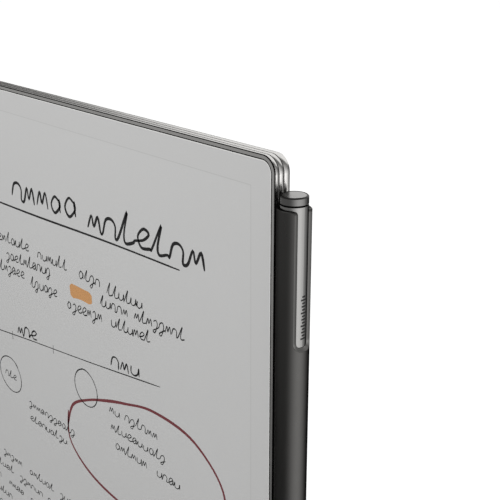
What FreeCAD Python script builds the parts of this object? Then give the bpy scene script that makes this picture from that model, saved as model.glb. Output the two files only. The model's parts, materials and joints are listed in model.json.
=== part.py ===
import FreeCAD, Part
import math
import os

from FreeCAD import Vector

os.makedirs("parts", exist_ok=True)

# A slim e-paper writing tablet with a pencil-like stylus docked on its right edge, in millimetres.
# X runs to the right across the screen, Y from the screen to the back, and Z up along the long side.
# The origin is the centre of the rear cover's outer face, and the screen faces -Y.

# --- driving dimensions: tablet ---
WIDTH = 196.6
HEIGHT = 274.1
THICKNESS = 5.1
CORNER_RADIUS = 4.4
RIGHT = WIDTH / 2
TOP = HEIGHT / 2
FRONT = -THICKNESS
BACK = 0.0
MIDDLE = -THICKNESS / 2

# --- how close a point must be to count as lying on a face, and how far a cut runs past one ---
TINY = 1e-6
OVERCUT = 1.0

# --- driving dimensions: screen ---
ACTIVE_WIDTH = 179.7
ACTIVE_HEIGHT = 239.6
TOP_BEZEL = 8.3
ACTIVE_TOP = TOP - TOP_BEZEL
ACTIVE_BOTTOM = ACTIVE_TOP - ACTIVE_HEIGHT
ACTIVE_RIGHT = ACTIVE_WIDTH / 2

# --- layers through the thickness, each (front, back) ---
GLASS_LAYER = (FRONT, -4.55)
ADHESIVE_LAYER = (-4.55, -4.47)
LIGHT_GUIDE_LAYER = (-4.55, -4.15)
DISPLAY_LAYER = (-4.15, -3.30)
DIGITIZER_LAYER = (-3.25, -2.90)
MID_PLATE_LAYER = (-2.80, -2.35)
FLEX_LAYER = (-2.30, -2.15)
BOARD_LAYER = (-2.15, -1.55)
CELL_LAYER = (-2.30, -1.00)
COVER_LAYER = (-0.80, BACK)
LEDGE = ADHESIVE_LAYER[1]

# --- side frame section ---
WALL = 3.0
LIP_WIDTH = 1.05
BAND_INSET = 0.24
SHADOW_WIDTH = 0.16
SHADOW_DEPTH = 0.42
RIDGE_START = FRONT + 0.30
RIDGE_DROP = 0.16
BACK_EDGE_DROP = 0.30
GROOVE_CENTRES = (-3.57, -2.00)
GROOVE_WIDTH = 0.24
GROOVE_FLOOR = 0.12
GROOVE_DEPTH = 0.46
GLASS_INSET = 1.35
COVER_REBATE = 1.20
COVER_INSET = 1.28

# --- mid plate, its screws and the frame's bosses ---
MID_PLATE_TOP = 130.9
MID_PLATE_GAP = 0.1
MID_PLATE_CORNER = 1.0
BOSS_HEIGHTS = (-90.0, -30.0, 40.0, 100.0)
BOSS_REACH = 3.3
BOSS_HALF = 3.0
BOSS_GAP = 0.05
BOSS_ROOT = 0.5
SCREW_X = 93.6
SCREW_RADIUS = 0.45
SCREW_HOLE_RADIUS = 0.60
SCREW_HEAD_RADIUS = 1.0
SCREW_HEAD_HEIGHT = 0.30
SCREW_END = -1.10

# --- rear cover, feet and accessory contacts ---
FOOT_X = 82.0
FOOT_Z = 122.0
FOOT_RADIUS = 3.5
FOOT_POCKET_RADIUS = 3.6
FOOT_POCKET_DEPTH = 0.35
FOOT_PROUD = 0.40
FOOT_FILLET = 0.25
COVER_CHAMFER = 0.12
COVER_RIM_SHARE = 0.97
CONTACT_X = -88.0
CONTACT_PITCH = 4.0
CONTACT_COUNT = 5
CONTACT_RADIUS = 0.95
CONTACT_HOLE_RADIUS = 1.0
CONTACT_RECESS = 0.05
CONTACT_BOARD_LAYER = (-1.25, -0.85)

# --- power button ---
BUTTON_X = -83.0
BUTTON_Y = -3.10
BUTTON_LENGTH = 10.0
BUTTON_WIDTH = 1.2
BUTTON_CLEARANCE = 0.12
BUTTON_PROUD = 0.25
BUTTON_FLANGE_TOP = TOP - 3.05
BUTTON_FLANGE_HEIGHT = 0.6
BUTTON_GAP = 0.35
BUTTON_FLANGE_RIM = 0.5
BUTTON_FILLET = 0.22
SWITCH_SIZE = (5.0, 1.6, 1.8)
ACTUATOR_RADIUS = 0.6
ACTUATOR_HEIGHT = 0.3

# --- USB-C port, on the bottom edge ---
USB_X = -80.0
USB_OUTER = (8.94, 3.16)
USB_INNER = (8.34, 2.56)
USB_MOUTH = -TOP + 0.45
USB_DEPTH = 7.0
USB_FLOOR = 0.8
USB_SLOT_CLEARANCE = 0.08
TONGUE_WIDTH = 6.69
TONGUE_THICKNESS = 0.70
TONGUE_REACH = 4.45
TONGUE_ROOT = 0.9
TONGUE_CLEARANCE = 0.04
USB_NOTCH_GAP = 0.10
USB_BOARD_LAYER = (-2.90, -2.30)

# --- stylus, as distances below the tablet's top edge ---
STYLUS_X = RIGHT + 4.0
STYLUS_Y = MIDDLE
STYLUS_TOP = TOP - 8.5
ERASER_BOTTOM = TOP - 10.38
TUBE_TOP = TOP - 10.82
SHELL_TOP = TOP - 11.7
WINDOW_BOTTOM = TOP - 46.3
SHELL_BOTTOM = TOP - 150.0
NOSE_BOTTOM = TOP - 168.5
TIP_END = TOP - 171.5
SHELL_RADIUS = 4.25
SHELL_BORE = 3.50
SHELL_FLAT = 3.95
TUBE_RADIUS = 3.45
TUBE_BORE = 2.95
WINDOW_FLOOR = 3.10
WINDOW_MOUTH_RADIUS = 1.0
WINDOW_END_SLOPE = 1.39
WINDOW_OVERCUT = 0.2

# --- stylus tip and eraser ---
TIP_RADIUS = 0.75
TIP_NOSE_RADIUS = 0.40
TIP_BORE = 0.90
TIP_POINT_HEIGHT = 0.25
TIP_TAPER = 1.9
TIP_FILLET = 0.3
TIP_CLEARANCE = 0.02
SOCKET_RADIUS = 1.70
SOCKET_BORE = 1.85
SOCKET_SPAN = (-16.0, -8.0)
TIP_SHANK_TOP = -12.0
TIP_PAD_HEIGHT = 1.0
TIP_PAD_RADIUS = 1.5
SENSOR_HEIGHT = 1.5
SENSOR_RADIUS = 2.6
SPIGOT_LENGTH = 4.0
SPIGOT_RADIUS = 2.93
NOSE_TIP_RADIUS = 1.35
NOSE_CHAMFER = 0.25
NOSE_WAIST_RADIUS = 3.90
NOSE_WAIST_DROP = 6.0
STEM_RADIUS = 1.2
STEM_BOTTOM = 122.0
GUIDE_SPAN = (TUBE_TOP - 1.5, TUBE_TOP - 0.1)
GUIDE_BORE = 1.3
ERASER_PAD_RADIUS = 1.1
ERASER_PAD_HEIGHT = 1.0
DISC_RADIUS = 3.02
DISC_DEPTH = 0.6
DISC_CLEARANCE = 0.05
DISC_RECESS = 0.05
DISC_FILLET = 0.12
CAP_CHAMFER = 0.28

# --- the screen stack's sheets and the strip of lamps below them ---
SHEET_CORNER = 0.8
LIGHT_GUIDE_MARGIN = 1.2
LIGHT_GUIDE_BOTTOM = -113.4
PANEL_MARGIN = 1.8
PANEL_BOTTOM = -117.0
DIGITIZER_BOTTOM = -113.0
ADHESIVE_INSETS = (1.42, 2.85)
STRIP_HALF_LENGTH = 88.0
STRIP_THICKNESS = 0.12
STRIP_SPAN = (-117.0, -113.6)
LAMP_COUNT = 15
LAMP_PITCH = 12.0
LAMP_LENGTH = 2.4
LAMP_THICKNESS = 0.28
LAMP_SPAN = (-114.8, -113.6)

# --- flexes ---
FLEX_THICKNESS = 0.15
DISPLAY_FLEX_X = (-40.0, -8.0)
DISPLAY_FLEX_FOLD = -119.2
DISPLAY_FLEX_END = -104.5
BATTERY_FLEX_LAYER = (-1.55, -1.40)
BATTERY_FLEX_BAR = ((-30.0, 30.0), (-62.0, -58.0))
BATTERY_FLEX_TAIL = ((-16.0, -4.0), (-70.0, -62.0))
USB_FLEX = ((-75.0, -69.0), (-128.0, -102.0))

# --- batteries, boards and chips, as ranges along X and along Z ---
CELL_X = (2.0, 85.0)
CELL_SPAN = (-58.0, 88.0)
CELL_CORNER = 1.5
CRIMP_MARGIN = 2.0
CRIMP_THICKNESS = 0.3
CRIMP_LENGTH = 3.0
BOARD_X = (-88.0, 20.0)
BOARD_SPAN = (-106.0, -66.0)
BOARD_CUTAWAY = ((4.0, 21.0), (-78.0, -65.0))
BOARD_CORNER = 1.0
CHIP_HEIGHT = 0.60
PROCESSOR = (-60.0, -86.0, 13.0)
PROCESSOR_HEIGHT = 0.40
MEMORY = (-36.0, -84.0, 10.0)
STORAGE = (-20.0, -90.0, 11.0)
WIRELESS = (8.0, -92.0, 12.0)
SHIELD_SIZE = (26.0, 22.0)
SHIELD_HEIGHT = 0.62
SHIELD_WALL = 0.12
ANTENNA_LAYER = (-1.60, -1.40)
ANTENNA_STRIP = ((40.0, 88.0), (118.0, 121.0))
ANTENNA_ARM = ((85.0, 88.0), (104.0, 118.0))
ANTENNA_FEED = ((40.0, 42.0), (112.0, 118.0))
CONTACT_BOARD = ((-91.0, -86.5), (-10.5, 10.5))
USB_BOARD = ((-93.0, -67.0), (-133.6, -121.0))

# --- the parts along the right and left walls, and inside the stylus ---
EDGE_BAR_WIDTH = 2.15
EDGE_BAR_GAP = 0.05
EDGE_BAR_LAYER = (-2.25, -0.95)
DOCK_MAGNET_SPANS = ((12.0, 19.0), (80.0, 87.0))
FOLIO_MAGNET_SPANS = ((-78.0, -50.0), (-14.0, 18.0), (56.0, 84.0))
COIL_SPAN = (60.0, 78.0)
COIL_MARGIN = 1.0
COIL_GAP = 0.02
COIL_THICKNESS = 0.2
DOCK_CORE_MARGIN_X = 0.3
DOCK_CORE_MARGIN_Y = 0.25
STYLUS_MAGNET_X = (-2.4, -0.6)
STYLUS_MAGNET_WIDTH = 2.6
STYLUS_CORE_X = (-2.2, -0.6)
STYLUS_CORE_WIDTH = 2.0
STYLUS_STRIP_SIZE = (5.2, 0.8)
STYLUS_BOARD_SPAN = (89.0, 118.0)
TIP_BOARD_SPAN = (-4.0, 10.0)
STYLUS_BATTERY_SPAN = (22.0, 56.0)


# --- helpers ---
def save(node, *solids):
    """Write one node, as a single solid or as a group of separate ones."""
    shape = solids[0] if len(solids) == 1 else Part.makeCompound(list(solids))
    shape.exportStep(f"parts/{node}.step")


def span(low, length):
    return (low, low + length)


def about(centre, length):
    return (centre - length / 2, centre + length / 2)


def block(x, y, z):
    """A box from its (low, high) ranges along X, Y and Z."""
    return Part.makeBox(x[1] - x[0], y[1] - y[0], z[1] - z[0], Vector(x[0], y[0], z[0]))


def chain(points):
    """Straight edges through a list of points."""
    return [Part.LineSegment(a, b).toShape() for a, b in zip(points, points[1:])]


def arc(start, middle, end):
    return Part.Arc(start, middle, end).toShape()


def rod(radius, z, x=STYLUS_X, y=STYLUS_Y):
    """A cylinder along Z over the range z."""
    return Part.makeCylinder(radius, z[1] - z[0], Vector(x, y, z[0]))


def pin(radius, x, z, layer):
    """A cylinder along Y through a layer."""
    return Part.makeCylinder(radius, layer[1] - layer[0], Vector(x, layer[0], z), Vector(0, 1, 0))


def rounded_plate(x, z, radius, layer):
    """A plate with round corners, from its ranges along X and Z and its layer along Y."""
    front = layer[0]
    diagonal = radius * (1 - math.sqrt(0.5))
    right_down = Vector(x[1], front, z[0] + radius)
    right_up = Vector(x[1], front, z[1] - radius)
    top_right = Vector(x[1] - radius, front, z[1])
    top_left = Vector(x[0] + radius, front, z[1])
    left_up = Vector(x[0], front, z[1] - radius)
    left_down = Vector(x[0], front, z[0] + radius)
    bottom_left = Vector(x[0] + radius, front, z[0])
    bottom_right = Vector(x[1] - radius, front, z[0])
    edges = [
        *chain([right_down, right_up]),
        arc(right_up, Vector(x[1] - diagonal, front, z[1] - diagonal), top_right),
        *chain([top_right, top_left]),
        arc(top_left, Vector(x[0] + diagonal, front, z[1] - diagonal), left_up),
        *chain([left_up, left_down]),
        arc(left_down, Vector(x[0] + diagonal, front, z[0] + diagonal), bottom_left),
        *chain([bottom_left, bottom_right]),
        arc(bottom_right, Vector(x[1] - diagonal, front, z[0] + diagonal), right_down),
    ]
    return Part.Face(Part.Wire(edges)).extrude(Vector(0, layer[1] - front, 0))


def inset_plate(inset, layer):
    """A plate that follows the tablet's outline, moved inwards."""
    right = RIGHT - inset
    top = TOP - inset
    return rounded_plate((-right, right), (-top, top), CORNER_RADIUS - inset, layer)


def pill(x, y, size, z):
    """A slot-shaped bar along Z with full-round ends, size being its length in X and width in Y."""
    half = size[1] / 2
    reach = size[0] / 2 - half
    low = Vector(x - reach, y - half, z[0])
    high = Vector(x - reach, y + half, z[0])
    far_low = Vector(x + reach, y - half, z[0])
    far_high = Vector(x + reach, y + half, z[0])
    edges = [
        *chain([low, far_low]),
        arc(far_low, Vector(x + reach + half, y, z[0]), far_high),
        *chain([far_high, high]),
        arc(high, Vector(x - reach - half, y, z[0]), low),
    ]
    return Part.Face(Part.Wire(edges)).extrude(Vector(0, 0, z[1] - z[0]))


def turned(profile):
    """A solid turned about the stylus axis, from (radius, z) points that start and end on the axis."""
    points = [Vector(STYLUS_X + radius, STYLUS_Y, z) for radius, z in profile]
    face = Part.Face(Part.Wire(chain(points + points[:1])))
    return face.revolve(Vector(STYLUS_X, STYLUS_Y, 0), Vector(0, 0, 1), 360)


def edges_near(shape, test):
    """The edges whose middle point passes the test."""
    return [e for e in shape.Edges if test(e.valueAt((e.FirstParameter + e.LastParameter) / 2))]


# --- tablet: side frame ---
def ridge(start, end):
    """A ridge's arc between two points of the section, whose crest touches the tablet's outline."""
    before = math.sqrt(CORNER_RADIUS - start.x)
    after = math.sqrt(CORNER_RADIUS - end.x)
    crest = start.y + (end.y - start.y) * before / (before + after)
    return arc(start, Vector(CORNER_RADIUS, crest, 0), end)


def groove(centre):
    """The corner points of a groove, from front to back."""
    foot = CORNER_RADIUS - RIDGE_DROP
    floor = CORNER_RADIUS - GROOVE_DEPTH
    return [
        Vector(foot, centre - GROOVE_WIDTH / 2, 0),
        Vector(floor, centre - GROOVE_FLOOR / 2, 0),
        Vector(floor, centre + GROOVE_FLOOR / 2, 0),
        Vector(foot, centre + GROOVE_WIDTH / 2, 0),
    ]


def frame_section():
    """The frame's wall, with X counted outwards from the centre of the corner's radius."""
    lip_inside = CORNER_RADIUS - LIP_WIDTH
    wall_inside = CORNER_RADIUS - WALL
    rebate_inside = CORNER_RADIUS - COVER_REBATE
    band_edge = CORNER_RADIUS - BAND_INSET
    crest_side = band_edge + SHADOW_WIDTH
    shadow_floor = FRONT + SHADOW_DEPTH
    start = Vector(crest_side, RIDGE_START, 0)
    edges = chain([
        Vector(lip_inside, LEDGE, 0),
        Vector(lip_inside, FRONT, 0),
        Vector(band_edge, FRONT, 0),
        Vector(band_edge, shadow_floor, 0),
        Vector(crest_side, shadow_floor, 0),
        start,
    ])
    for centre in GROOVE_CENTRES:
        points = groove(centre)
        edges.append(ridge(start, points[0]))
        edges += chain(points)
        start = points[-1]
    back_edge = Vector(CORNER_RADIUS - BACK_EDGE_DROP, BACK, 0)
    edges.append(ridge(start, back_edge))
    edges += chain([
        back_edge,
        Vector(rebate_inside, BACK, 0),
        Vector(rebate_inside, COVER_LAYER[0], 0),
        Vector(wall_inside, COVER_LAYER[0], 0),
        Vector(wall_inside, LEDGE, 0),
        Vector(lip_inside, LEDGE, 0),
    ])
    return Part.Face(Part.Wire(edges))


def frame_ring():
    """Four straight walls and four turned corners, joined."""
    section = frame_section()
    reach_x = RIGHT - CORNER_RADIUS
    reach_z = TOP - CORNER_RADIUS
    corner = section.revolve(Vector(), Vector(0, -1, 0), 90)
    pieces = []
    for turn, (side_x, side_z) in enumerate([(1, 1), (-1, 1), (-1, -1), (1, -1)]):
        length = 2 * (reach_x if turn % 2 else reach_z)
        for piece in (corner.copy(), section.extrude(Vector(0, 0, -length))):
            piece.rotate(Vector(), Vector(0, -1, 0), 90 * turn)
            piece.translate(Vector(side_x * reach_x, 0, side_z * reach_z))
            pieces.append(piece)
    return pieces[0].multiFuse(pieces[1:]).removeSplitter().Solids[0]


def frame_bosses():
    layer = (MID_PLATE_LAYER[1], COVER_LAYER[0] - BOSS_GAP)
    inner = RIGHT - WALL - BOSS_REACH
    outer = RIGHT - WALL + BOSS_ROOT
    return [
        block(x, layer, about(z, 2 * BOSS_HALF))
        for z in BOSS_HEIGHTS
        for x in ((inner, outer), (-outer, -inner))
    ]


def screw_places():
    return [(side * SCREW_X, z) for side in (1, -1) for z in BOSS_HEIGHTS]


def button_slot():
    size = (BUTTON_LENGTH + 2 * BUTTON_CLEARANCE, BUTTON_WIDTH + 2 * BUTTON_CLEARANCE)
    return pill(BUTTON_X, BUTTON_Y, size, (TOP - WALL - OVERCUT, TOP + OVERCUT))


def usb_slot():
    size = [length + 2 * USB_SLOT_CLEARANCE for length in USB_OUTER]
    return pill(USB_X, MIDDLE, size, (-TOP - OVERCUT, -TOP + WALL + OVERCUT))


def side_frame():
    frame = frame_ring().multiFuse(frame_bosses()).removeSplitter()
    layer = (MID_PLATE_LAYER[1] - OVERCUT, SCREW_END)
    holes = [pin(SCREW_RADIUS, x, z, layer) for x, z in screw_places()]
    return frame.cut(Part.makeCompound([button_slot(), usb_slot(), *holes])).Solids[0]


# --- tablet: screen stack ---
def glass_adhesive():
    outside, inside = [inset_plate(inset, ADHESIVE_LAYER) for inset in ADHESIVE_INSETS]
    return outside.cut(inside)


def screen_sheet(margin, bottom, layer):
    """A sheet of the screen stack that stands out past the active area by a margin."""
    edge = ACTIVE_RIGHT + margin
    return rounded_plate((-edge, edge), (bottom, ACTIVE_TOP + margin), SHEET_CORNER, layer)


def front_light_strip():
    """A flexible strip along the light guide's lower edge, with its row of lamps."""
    layer = span(LIGHT_GUIDE_LAYER[0], STRIP_THICKNESS)
    strip = block((-STRIP_HALF_LENGTH, STRIP_HALF_LENGTH), layer, STRIP_SPAN)
    places = [(i - (LAMP_COUNT - 1) / 2) * LAMP_PITCH for i in range(LAMP_COUNT)]
    lamps = [block(about(x, LAMP_LENGTH), span(layer[1], LAMP_THICKNESS), LAMP_SPAN) for x in places]
    return strip.multiFuse(lamps).removeSplitter().Solids[0]


def display_flex():
    """A flex that leaves the panel's lower edge, folds under the mid plate and reaches the main board."""
    front = span(sum(DISPLAY_LAYER) / 2, FLEX_THICKNESS)
    bend = span(DISPLAY_FLEX_FOLD, FLEX_THICKNESS)
    legs = [
        block(DISPLAY_FLEX_X, front, (bend[0], PANEL_BOTTOM)),
        block(DISPLAY_FLEX_X, (front[0], FLEX_LAYER[1]), bend),
        block(DISPLAY_FLEX_X, FLEX_LAYER, (bend[0], DISPLAY_FLEX_END)),
    ]
    return legs[0].multiFuse(legs[1:]).removeSplitter().Solids[0]


def mid_plate():
    inner = RIGHT - WALL - MID_PLATE_GAP
    height = (ACTIVE_BOTTOM, MID_PLATE_TOP)
    plate = rounded_plate((-inner, inner), height, MID_PLATE_CORNER, MID_PLATE_LAYER)
    holes = [pin(SCREW_HOLE_RADIUS, x, z, MID_PLATE_LAYER) for x, z in screw_places()]
    return plate.cut(Part.makeCompound(holes))


def mid_plate_screw(x, z):
    head = pin(SCREW_HEAD_RADIUS, x, z, (MID_PLATE_LAYER[0] - SCREW_HEAD_HEIGHT, MID_PLATE_LAYER[0]))
    shank = pin(SCREW_RADIUS, x, z, (MID_PLATE_LAYER[0], SCREW_END))
    return head.fuse(shank).removeSplitter().Solids[0]


# --- tablet: rear cover ---
def foot_places():
    return [(x, z) for x in (-FOOT_X, FOOT_X) for z in (-FOOT_Z, FOOT_Z)]


def contact_places():
    return [(CONTACT_X, (i - (CONTACT_COUNT - 1) / 2) * CONTACT_PITCH) for i in range(CONTACT_COUNT)]


def rear_cover():
    cover = inset_plate(COVER_INSET, COVER_LAYER)
    pocket_layer = (-FOOT_POCKET_DEPTH, OVERCUT)
    pockets = [pin(FOOT_POCKET_RADIUS, x, z, pocket_layer) for x, z in foot_places()]
    hole_layer = (COVER_LAYER[0] - OVERCUT, OVERCUT)
    holes = [pin(CONTACT_HOLE_RADIUS, x, z, hole_layer) for x, z in contact_places()]
    cover = cover.cut(Part.makeCompound(pockets + holes)).Solids[0]

    def on_rim(p):
        return p.y > BACK - TINY and max(abs(p.x) / RIGHT, abs(p.z) / TOP) > COVER_RIM_SHARE

    return cover.makeChamfer(COVER_CHAMFER, edges_near(cover, on_rim))


def rubber_foot(x, z):
    foot = pin(FOOT_RADIUS, x, z, (-FOOT_POCKET_DEPTH, FOOT_PROUD))
    return foot.makeFillet(FOOT_FILLET, edges_near(foot, lambda p: p.y > FOOT_PROUD - TINY))


def accessory_contact(x, z):
    return pin(CONTACT_RADIUS, x, z, (CONTACT_BOARD_LAYER[1], BACK - CONTACT_RECESS))


def contact_board():
    return rounded_plate(*CONTACT_BOARD, SHEET_CORNER, CONTACT_BOARD_LAYER)


# --- tablet: batteries and boards ---
def battery_cell(side):
    """A flat pouch cell with a crimped top edge, left or right of the centre line."""
    x = CELL_X if side > 0 else (-CELL_X[1], -CELL_X[0])
    pouch = rounded_plate(x, CELL_SPAN, CELL_CORNER, CELL_LAYER)
    crimp_x = (x[0] + CRIMP_MARGIN, x[1] - CRIMP_MARGIN)
    crimp = block(crimp_x, about(sum(CELL_LAYER) / 2, CRIMP_THICKNESS), span(CELL_SPAN[1], CRIMP_LENGTH))
    return pouch.fuse(crimp).removeSplitter().Solids[0]


def flat_block(x_and_z, layer):
    """A block from its ranges along X and Z and its layer along Y."""
    return block(x_and_z[0], layer, x_and_z[1])


def battery_flex():
    """A flex across the lower ends of both cells, with a tail down to the main board."""
    bar = flat_block(BATTERY_FLEX_BAR, BATTERY_FLEX_LAYER)
    tail = flat_block(BATTERY_FLEX_TAIL, BATTERY_FLEX_LAYER)
    return bar.fuse(tail).removeSplitter().Solids[0]


def main_board():
    """The main board, with a corner cut away beside the battery flex."""
    board = rounded_plate(BOARD_X, BOARD_SPAN, BOARD_CORNER, BOARD_LAYER)
    return board.cut(flat_block(BOARD_CUTAWAY, BOARD_LAYER))


def chip(place, height):
    """A square chip on the main board's back, from its (x, z, size)."""
    x, z, size = place
    return block(about(x, size), span(BOARD_LAYER[1], height), about(z, size))


def processor_shield():
    """A thin metal can, open towards the board."""
    x = about(PROCESSOR[0], SHIELD_SIZE[0])
    z = about(PROCESSOR[1], SHIELD_SIZE[1])
    can = block(x, span(BOARD_LAYER[1], SHIELD_HEIGHT), z)
    inner_x = (x[0] + SHIELD_WALL, x[1] - SHIELD_WALL)
    inner_z = (z[0] + SHIELD_WALL, z[1] - SHIELD_WALL)
    return can.cut(block(inner_x, span(BOARD_LAYER[1], SHIELD_HEIGHT - SHIELD_WALL), inner_z))


def antenna(side):
    """A flat folded antenna on a carrier strip in a top corner."""
    pieces = [flat_block(part, ANTENNA_LAYER) for part in (ANTENNA_STRIP, ANTENNA_ARM, ANTENNA_FEED)]
    shape = pieces[0].multiFuse(pieces[1:]).removeSplitter().Solids[0]
    return shape if side > 0 else shape.mirror(Vector(), Vector(1, 0, 0))


# --- tablet: USB-C port ---
def usb_span():
    return span(USB_MOUTH, USB_DEPTH)


def usb_shell():
    outer = pill(USB_X, MIDDLE, USB_OUTER, usb_span())
    inside = (USB_MOUTH - OVERCUT, USB_MOUTH + USB_DEPTH - USB_FLOOR)
    return outer.cut(pill(USB_X, MIDDLE, USB_INNER, inside))


def usb_tongue():
    """The tongue that carries the contacts, on a block that closes the shell's inner end."""
    root = USB_MOUTH + USB_DEPTH - USB_FLOOR
    shoulder = root - TONGUE_ROOT
    base = pill(USB_X, MIDDLE, [length - TONGUE_CLEARANCE for length in USB_INNER], (shoulder, root))
    blade_z = (shoulder - TONGUE_REACH, shoulder)
    blade = block(about(USB_X, TONGUE_WIDTH), about(MIDDLE, TONGUE_THICKNESS), blade_z)
    return base.fuse(blade).removeSplitter().Solids[0]


def usb_board():
    """A small board, notched around the sunk connector."""
    board = rounded_plate(*USB_BOARD, SHEET_CORNER, USB_BOARD_LAYER)
    notch_x = about(USB_X, USB_OUTER[0] + 2 * USB_NOTCH_GAP)
    notch = block(notch_x, USB_BOARD_LAYER, (-TOP, USB_MOUTH + USB_DEPTH + USB_NOTCH_GAP))
    return board.cut(notch).Solids[0]


# --- tablet: power button ---
def power_button():
    """A slim pill in the frame's middle ridge, with an inner flange that keeps it in its slot."""
    top = TOP + BUTTON_PROUD
    cap = pill(BUTTON_X, BUTTON_Y, (BUTTON_LENGTH, BUTTON_WIDTH), (BUTTON_FLANGE_TOP, top))
    cap = cap.makeFillet(BUTTON_FILLET, edges_near(cap, lambda p: p.z > top - TINY))
    flange_size = [size + 2 * BUTTON_FLANGE_RIM for size in (BUTTON_LENGTH, BUTTON_WIDTH)]
    flange_z = (BUTTON_FLANGE_TOP - BUTTON_FLANGE_HEIGHT, BUTTON_FLANGE_TOP)
    return cap.fuse(pill(BUTTON_X, BUTTON_Y, flange_size, flange_z)).removeSplitter().Solids[0]


def power_switch():
    """A dome switch behind the button, with a short round actuator."""
    actuator_top = BUTTON_FLANGE_TOP - BUTTON_FLANGE_HEIGHT - BUTTON_GAP
    body_top = actuator_top - ACTUATOR_HEIGHT
    length, width, height = SWITCH_SIZE
    body = block(about(BUTTON_X, length), about(BUTTON_Y, width), (body_top - height, body_top))
    actuator = rod(ACTUATOR_RADIUS, (body_top, actuator_top), BUTTON_X, BUTTON_Y)
    return body.fuse(actuator).removeSplitter().Solids[0]


# --- tablet: magnets and charging coil ---
def edge_bar_x():
    outer = RIGHT - WALL - EDGE_BAR_GAP
    return (outer - EDGE_BAR_WIDTH, outer)


def edge_bar(z, side):
    x = edge_bar_x() if side > 0 else [-place for place in reversed(edge_bar_x())]
    return block(x, EDGE_BAR_LAYER, z)


def winding(core_x, core_y, z):
    """A rectangular winding around most of a bar, with a slim gap between them."""
    low, high = z[0] + COIL_MARGIN, z[1] - COIL_MARGIN
    inner_x = (core_x[0] - COIL_GAP, core_x[1] + COIL_GAP)
    inner_y = (core_y[0] - COIL_GAP, core_y[1] + COIL_GAP)
    outer_x = (inner_x[0] - COIL_THICKNESS, inner_x[1] + COIL_THICKNESS)
    outer_y = (inner_y[0] - COIL_THICKNESS, inner_y[1] + COIL_THICKNESS)
    return block(outer_x, outer_y, (low, high)).cut(block(inner_x, inner_y, (low, high)))


def dock_charge_pair():
    """The tablet's charging bar and its winding, in the right wall's channel."""
    x = edge_bar_x()
    core_x = (x[0] + DOCK_CORE_MARGIN_X, x[1] - DOCK_CORE_MARGIN_X)
    core_y = (EDGE_BAR_LAYER[0] + DOCK_CORE_MARGIN_Y, EDGE_BAR_LAYER[1] - DOCK_CORE_MARGIN_Y)
    return block(core_x, core_y, COIL_SPAN), winding(core_x, core_y, COIL_SPAN)


# --- stylus: outer pieces ---
def window_tool():
    """A flat cut along the shell, which ends in a cone below and opens past the shell's top."""
    half = math.sqrt(SHELL_RADIUS ** 2 - WINDOW_FLOOR ** 2)
    height = SHELL_RADIUS + WINDOW_OVERCUT - WINDOW_FLOOR
    centre = WINDOW_BOTTOM + half + (SHELL_BORE - WINDOW_FLOOR) * WINDOW_END_SLOPE
    x = span(STYLUS_X + WINDOW_FLOOR, height)
    width = 2 * (SHELL_RADIUS + OVERCUT)
    flat = block(x, about(STYLUS_Y, width), (centre, SHELL_TOP + OVERCUT))
    base = Vector(x[0], STYLUS_Y, centre)
    end = Part.makeCone(half, half + height * WINDOW_END_SLOPE, height, base, Vector(1, 0, 0))
    return flat.fuse(end)


def mouth_tool(side):
    """What rounds the shell's corner beside the window's open end."""
    inner = math.sqrt(SHELL_RADIUS ** 2 - WINDOW_FLOOR ** 2)
    outer = inner + WINDOW_MOUTH_RADIUS
    shoulder = SHELL_TOP - WINDOW_MOUTH_RADIUS
    bend = WINDOW_MOUTH_RADIUS * math.sqrt(0.5)

    def at(y, z):
        return Vector(STYLUS_X, STYLUS_Y + side * y, z)

    edges = [
        arc(at(outer, SHELL_TOP), at(outer - bend, shoulder + bend), at(inner, shoulder)),
        *chain([at(inner, shoulder), at(inner, SHELL_TOP), at(outer, SHELL_TOP)]),
    ]
    return Part.Face(Part.Wire(edges)).extrude(Vector(SHELL_RADIUS, 0, 0))


def flat_tool(z):
    """What is cut away so that the stylus lies flat against the tablet's edge."""
    x = (STYLUS_X - SHELL_RADIUS - OVERCUT, STYLUS_X - SHELL_FLAT)
    return block(x, about(STYLUS_Y, 2 * (SHELL_RADIUS + OVERCUT)), z)


def stylus_shell():
    whole = (SHELL_BOTTOM, SHELL_TOP)
    tools = [rod(SHELL_BORE, whole), flat_tool(whole), window_tool(), mouth_tool(1), mouth_tool(-1)]
    return rod(SHELL_RADIUS, whole).cut(tools).removeSplitter().Solids[0]


def stylus_tube():
    return rod(TUBE_RADIUS, (SHELL_BOTTOM, TUBE_TOP)).cut(rod(TUBE_BORE, (SHELL_BOTTOM, TUBE_TOP)))


def nose_cone():
    """A cone with a spigot that plugs the tube, bored for the tip and for the tip's socket."""
    spigot_top = SHELL_BOTTOM + SPIGOT_LENGTH
    body = turned([
        (0, spigot_top),
        (SPIGOT_RADIUS, spigot_top),
        (SPIGOT_RADIUS, SHELL_BOTTOM),
        (SHELL_RADIUS, SHELL_BOTTOM),
        (NOSE_WAIST_RADIUS, SHELL_BOTTOM - NOSE_WAIST_DROP),
        (NOSE_TIP_RADIUS, NOSE_BOTTOM + NOSE_CHAMFER),
        (NOSE_TIP_RADIUS - NOSE_CHAMFER, NOSE_BOTTOM),
        (0, NOSE_BOTTOM),
    ])
    tip_bore = rod(TIP_BORE, (NOSE_BOTTOM - OVERCUT, spigot_top + OVERCUT))
    socket_bore = rod(SOCKET_BORE, (SOCKET_SPAN[0] - OVERCUT, spigot_top))
    return body.cut(flat_tool((NOSE_BOTTOM, SHELL_BOTTOM))).cut(tip_bore.fuse(socket_bore)).Solids[0]


def stylus_tip():
    """A slim nib with a domed point."""
    rim = TIP_END + TIP_POINT_HEIGHT
    nib = turned([
        (0, TIP_END),
        (TIP_NOSE_RADIUS, rim),
        (TIP_RADIUS, TIP_END + TIP_TAPER),
        (TIP_RADIUS, TIP_SHANK_TOP),
        (0, TIP_SHANK_TOP),
    ])
    return nib.makeFillet(TIP_FILLET, edges_near(nib, lambda p: abs(p.z - rim) < TINY))


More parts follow.
